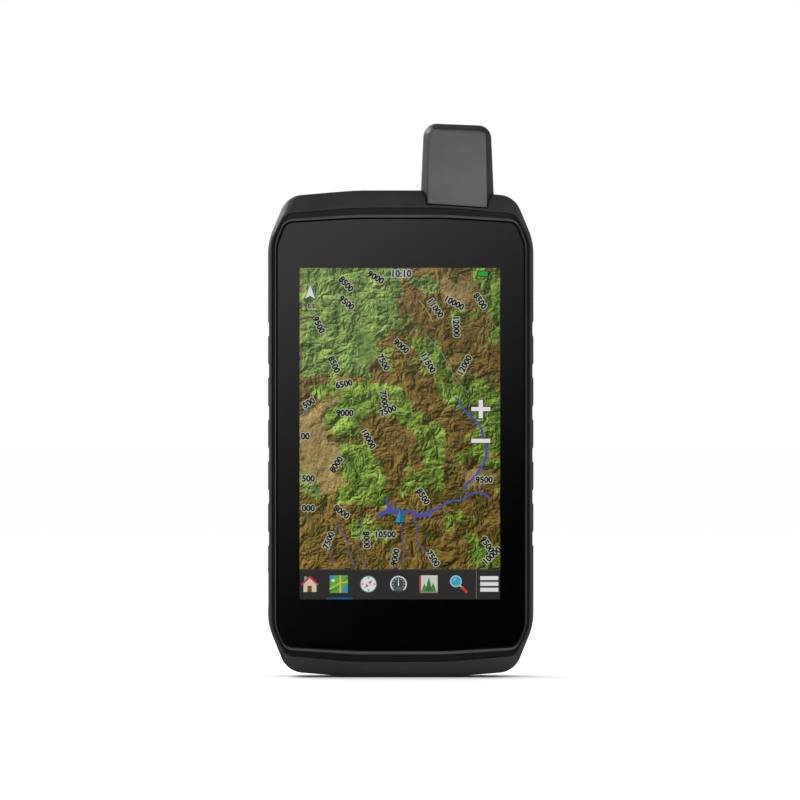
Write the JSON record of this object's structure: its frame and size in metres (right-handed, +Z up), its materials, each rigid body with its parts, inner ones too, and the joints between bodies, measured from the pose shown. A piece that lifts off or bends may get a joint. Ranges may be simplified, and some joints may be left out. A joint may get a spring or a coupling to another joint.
{
  "type": "handheld gps unit",
  "caption": "Rugged handheld GPS unit with a large portrait touch display, a stub antenna, rubber side grips, and a latched battery cover behind.",
  "frame": {"origin": "centre of the unit's box at the height of the flat foot it stands on", "axes": "-Y the way the display faces, +X towards the power button, +Z up towards the antenna"},
  "size_m": [0.088, 0.0326, 0.1836],
  "materials": {
    "case_plastic": "fine moulded grain",
    "bezel_plastic": "satin",
    "grip_rubber": "soft touch",
    "antenna_grey": "fine texture",
    "cap_rubber": "matt",
    "cover_glass": "polished, black border printed behind",
    "sensor_film": "clear film",
    "display": "lit map display",
    "foam": "closed cell foam tape",
    "silicone": "moulded silicone",
    "magnesium": "die cast",
    "board_green": "solder mask",
    "polyimide": "flexible circuit film",
    "tin_plate": "tin plated",
    "steel": "stainless",
    "gold": "gold plated",
    "ceramic": "fired ceramic",
    "black_insulator": "moulded insulator",
    "battery_wrap": "satin shell",
    "copper_braid": "thin coaxial lead"
  },
  "bodies": {
    "case": {"front_bezel": "bezel_plastic", "cover_glass": "cover_glass", "glass_seal": "foam", "touch_panel": "sensor_film", "display_module": "display", "display_flex": "polyimide", "case_seal": "silicone", "display_frame": "magnesium", "main_board": "board_green", "processor_shield": "tin_plate", "receiver_shield": "tin_plate", "board_screw_1": "steel", "board_screw_2": "steel", "board_screw_3": "steel", "board_screw_4": "steel", "speaker": "black_insulator", "speaker_mesh": "steel", "card_socket": "tin_plate", "rear_housing": "case_plastic", "left_grip": "grip_rubber", "right_grip": "grip_rubber", "case_screw_1": "steel", "case_screw_2": "steel", "case_screw_3": "steel", "case_screw_4": "steel", "case_screw_5": "steel", "case_screw_6": "steel", "pressure_vent": "foam", "contact_block": "black_insulator", "contact_pad_1": "gold", "contact_pad_2": "gold", "contact_pad_3": "gold", "contact_pad_4": "gold", "antenna_housing": "case_plastic", "antenna_face": "antenna_grey", "antenna_element": "ceramic", "antenna_lead": "copper_braid", "button_seal": "silicone", "power_switch": "steel", "usb_socket": "tin_plate", "antenna_jack": "gold", "terminal_block": "black_insulator", "battery_contact_1": "gold", "battery_contact_2": "gold", "battery_contact_3": "gold"},
    "power_button": {"power_button": "cap_rubber"},
    "usb_cap": {"usb_cap": "cap_rubber"},
    "antenna_port_cap": {"antenna_port_cap": "cap_rubber"},
    "battery_cover": {"battery_cover": "case_plastic", "cover_seal": "silicone"},
    "latch": {"latch_stud": "steel", "stud_clip": "steel"},
    "d_ring": {"d_ring": "steel"},
    "battery_pack": {"battery_pack": "battery_wrap"},
    "memory_card": {"memory_card": "black_insulator"}
  },
  "joints": [
    {"name": "power_button_press", "type": "slide", "parent": "case", "child": "power_button", "axis": [-1, 0, 0], "range_m": [0, 0.0006], "stiffness_N_per_m": 400},
    {"name": "usb_cap_hinge", "type": "hinge", "parent": "case", "child": "usb_cap", "pos_m": [-0.0439, -0.00575, 0.1247], "axis": [0, -1, 0], "range_deg": [0, 115]},
    {"name": "antenna_port_cap_hinge", "type": "hinge", "parent": "case", "child": "antenna_port_cap", "pos_m": [-0.0439, -0.0068, 0.0227], "axis": [0, -1, 0], "range_deg": [0, 115]},
    {"name": "cover_lift", "type": "slide", "parent": "case", "child": "battery_cover", "axis": [0, 1, 0], "range_m": [0, 0.025]},
    {"name": "battery_lift", "type": "slide", "parent": "case", "child": "battery_pack", "axis": [0, 1, 0], "range_m": [0, 0.0125]},
    {"name": "latch_turn", "type": "hinge", "parent": "battery_cover", "child": "latch", "pos_m": [0, 0.0122, 0.0155], "axis": [0, -1, 0], "range_deg": [0, 90]},
    {"name": "d_ring_flip", "type": "hinge", "parent": "latch", "child": "d_ring", "pos_m": [0, 0.0144, 0.0155], "axis": [-1, 0, 0], "range_deg": [0, 100]},
    {"name": "card_slide", "type": "slide", "parent": "case", "child": "memory_card", "axis": [0, 0, 1], "range_m": [0, 0.007]}
  ],
  "couplings": [
    {"joint": "battery_lift", "follows": "cover_lift", "ratio": 0.5}
  ]
}
